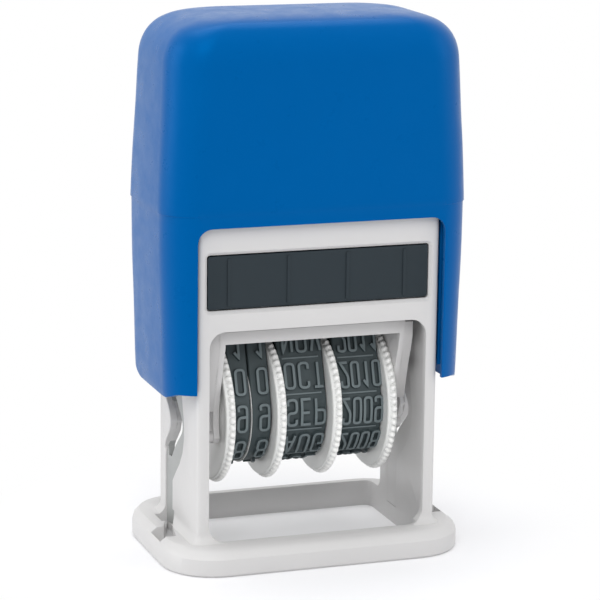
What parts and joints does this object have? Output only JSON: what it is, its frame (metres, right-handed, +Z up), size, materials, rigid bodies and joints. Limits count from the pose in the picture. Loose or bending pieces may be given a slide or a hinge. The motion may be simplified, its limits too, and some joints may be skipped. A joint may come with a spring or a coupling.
{
  "type": "self-inking date stamp",
  "caption": "Self-inking mini date stamp: blue press cap, pale frame, pull-out ink tray and a flip-over carriage with date bands set by knurled thumbwheels.",
  "frame": {"origin": "middle of the footprint, on the underside of the base", "axes": "+Z up along the stroke of the cap; the front with the ink tray and the thumbwheels faces -Y"},
  "size_m": [0.044, 0.0284, 0.0756],
  "materials": {
    "cap_plastic": "satin moulded blue",
    "frame_plastic": "pale grey moulded",
    "wheel_plastic": "light grey moulded",
    "tray_plastic": "dark grey moulded",
    "pad_felt": "inked felt",
    "band_rubber": "matt grey-green rubber",
    "steel": "bright drawn steel"
  },
  "bodies": {
    "frame": {"base_frame": "frame_plastic", "return_spring": "steel"},
    "tray": {"ink_tray": "tray_plastic", "ink_pad": "pad_felt"},
    "cap": {"cap_shell": "cap_plastic", "cap_yoke": "frame_plastic", "pivot_pin_left": "steel", "pivot_pin_right": "steel"},
    "carriage": {"carriage_frame": "frame_plastic", "type_anvil": "frame_plastic", "wheel_axle": "steel", "axle_ring_left": "steel", "axle_ring_right": "steel", "band_day_tens": "band_rubber", "band_day_units": "band_rubber", "band_month": "band_rubber", "band_year": "band_rubber"},
    "wheel_day_tens": {"thumbwheel_day_tens": "wheel_plastic"},
    "wheel_day_units": {"thumbwheel_day_units": "wheel_plastic"},
    "wheel_month": {"thumbwheel_month": "wheel_plastic"},
    "wheel_year": {"thumbwheel_year": "wheel_plastic"}
  },
  "joints": [
    {"name": "cap_press", "type": "slide", "parent": "frame", "child": "cap", "axis": [0, 0, -1], "range_m": [0, 0.02], "stiffness_N_per_m": 300, "springref_m": -0.01, "deforming": ["return_spring"]},
    {"name": "carriage_flip", "type": "hinge", "parent": "cap", "child": "carriage", "pos_m": [0, 0.0035, 0.02845], "axis": [-1, 0, 0], "range_deg": [0, 180]},
    {"name": "tray_pull", "type": "slide", "parent": "frame", "child": "tray", "axis": [0, -1, 0], "range_m": [0, 0.0196]},
    {"name": "day_tens_turn", "type": "hinge", "parent": "carriage", "child": "wheel_day_tens", "pos_m": [0, 0.0034, 0.0194], "axis": [1, 0, 0], "continuous": true},
    {"name": "day_units_turn", "type": "hinge", "parent": "carriage", "child": "wheel_day_units", "pos_m": [0, 0.0034, 0.0194], "axis": [1, 0, 0], "continuous": true},
    {"name": "month_turn", "type": "hinge", "parent": "carriage", "child": "wheel_month", "pos_m": [0, 0.0034, 0.0194], "axis": [1, 0, 0], "continuous": true},
    {"name": "year_turn", "type": "hinge", "parent": "carriage", "child": "wheel_year", "pos_m": [0, 0.0034, 0.0194], "axis": [1, 0, 0], "continuous": true}
  ],
  "couplings": [
    {"joint": "carriage_flip", "follows": "cap_press", "rad_per_m": 157.07}
  ]
}
